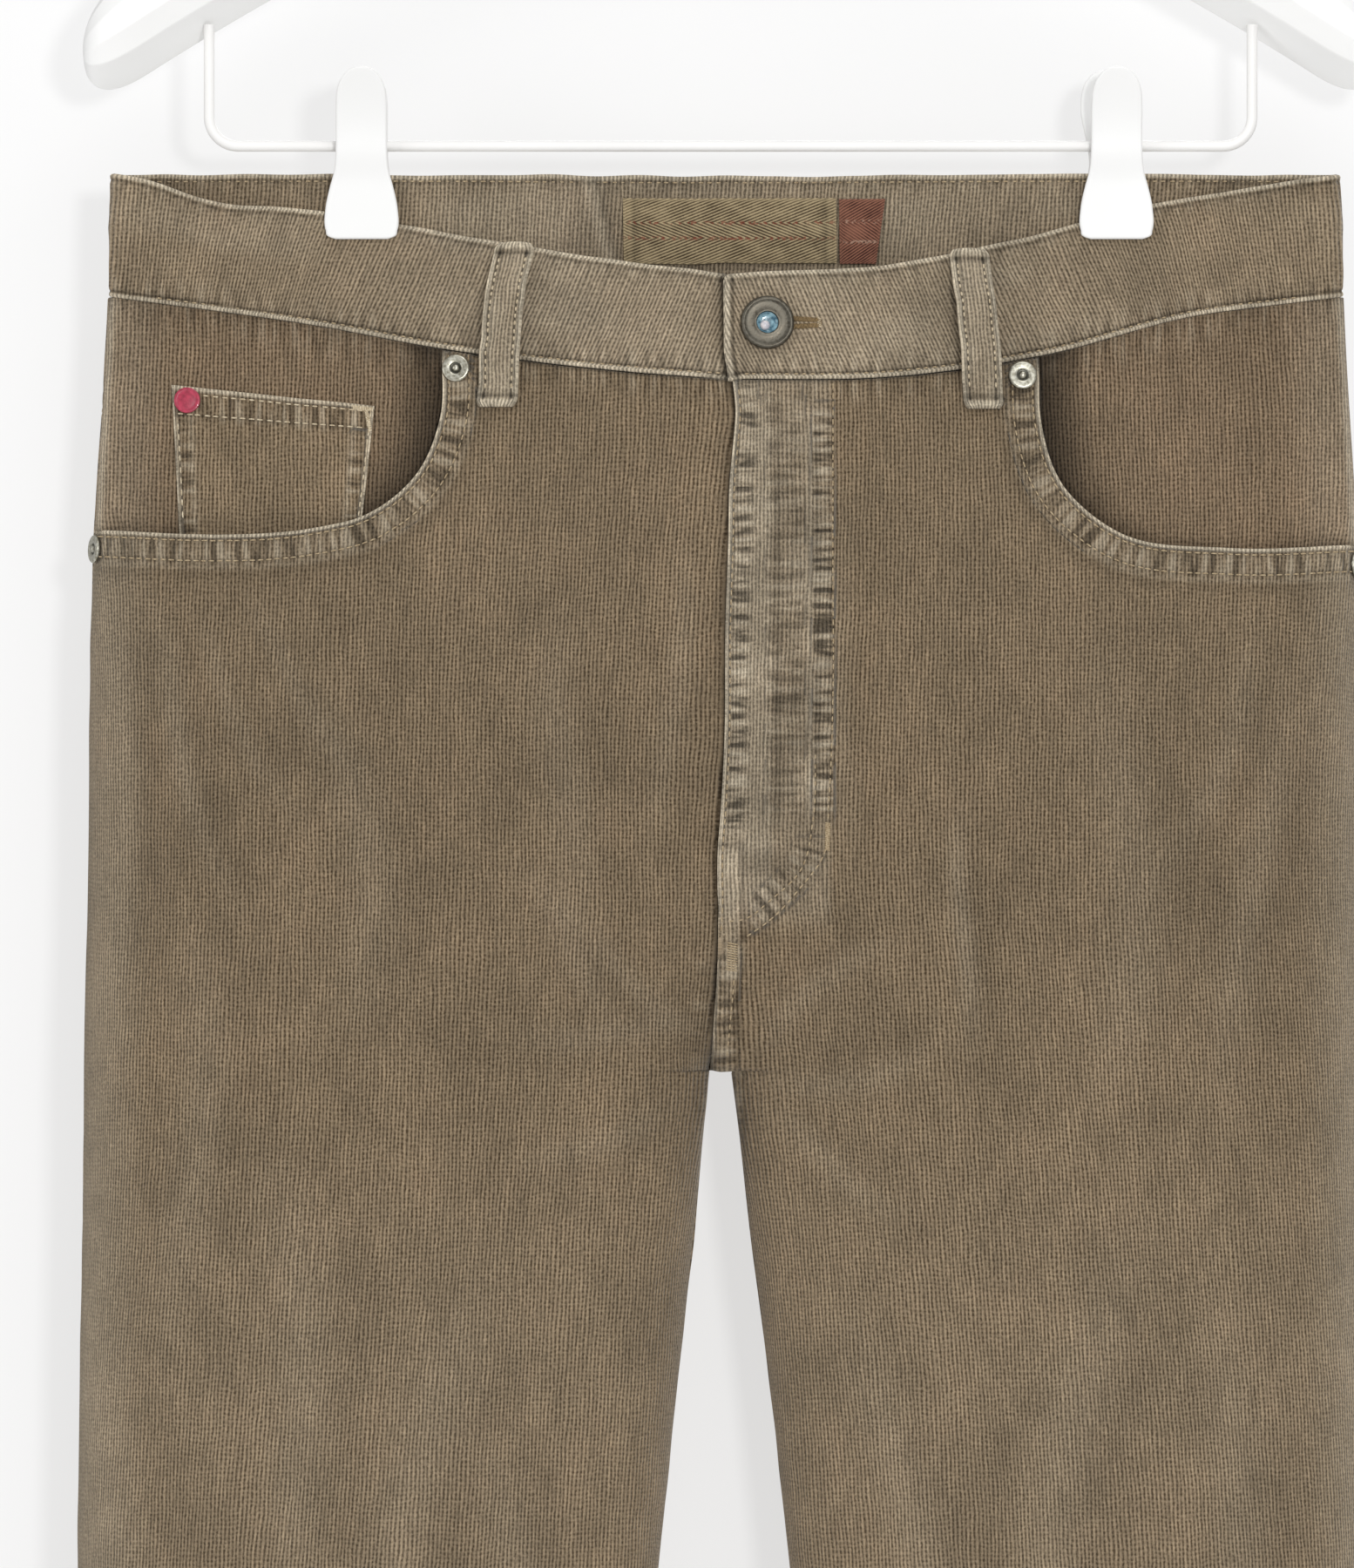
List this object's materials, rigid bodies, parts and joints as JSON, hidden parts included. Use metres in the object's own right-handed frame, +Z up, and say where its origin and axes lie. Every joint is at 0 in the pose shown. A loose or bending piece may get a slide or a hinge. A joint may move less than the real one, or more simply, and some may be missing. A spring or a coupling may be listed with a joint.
{
  "type": "five-pocket corduroy trousers on a clip hanger",
  "caption": "Five-pocket needlecord trousers hanging flat by the waistband from a white clip hanger, legs and waist open.",
  "frame": {"origin": "inner top of the hanger's hook, where a rail or wall hook carries it", "axes": "+Z up, -Y the way the front of the trousers faces, +X towards the wearer's left"},
  "size_m": [0.4469, 0.0834, 1.3244],
  "materials": {
    "cord": "fine-wale cotton corduroy, taupe, washed, with worn pale edges",
    "tape": "cotton herringbone tape",
    "red_tape": "brownish red herringbone tape",
    "button_metal": "gunmetal plating, worn bright on the rim",
    "nickel": "matt nickel plating",
    "red_enamel": "gloss red enamel",
    "white_plastic": "satin white",
    "white_wire": "white powder coat"
  },
  "bodies": {
    "root": {"back_left": "cord", "back_pocket_left": "cord", "back_pocket_right": "cord", "back_right": "cord", "button": "button_metal", "clip_left_back": "white_plastic", "clip_left_front": "white_plastic", "clip_left_pivot": "white_plastic", "clip_right_back": "white_plastic", "clip_right_front": "white_plastic", "clip_right_pivot": "white_plastic", "coin_pocket": "cord", "front_left": "cord", "front_right": "cord", "hanger_arms": "white_plastic", "hanger_bar": "white_wire", "hanger_collar": "white_plastic", "hanger_hook": "white_wire", "loop_back_left": "cord", "loop_back_right": "cord", "loop_centre_back": "cord", "loop_front_left": "cord", "loop_front_right": "cord", "neck_tape": "tape", "pocket_facing_left": "cord", "pocket_facing_right": "cord", "red_tape": "red_tape", "rivet_coin": "red_enamel", "rivet_side_left": "nickel", "rivet_side_right": "nickel", "rivet_waist_left": "nickel", "rivet_waist_right": "nickel", "waistband_back": "cord", "waistband_left": "cord", "waistband_right": "cord", "yoke_left": "cord", "yoke_right": "cord"}
  },
  "joints": []
}
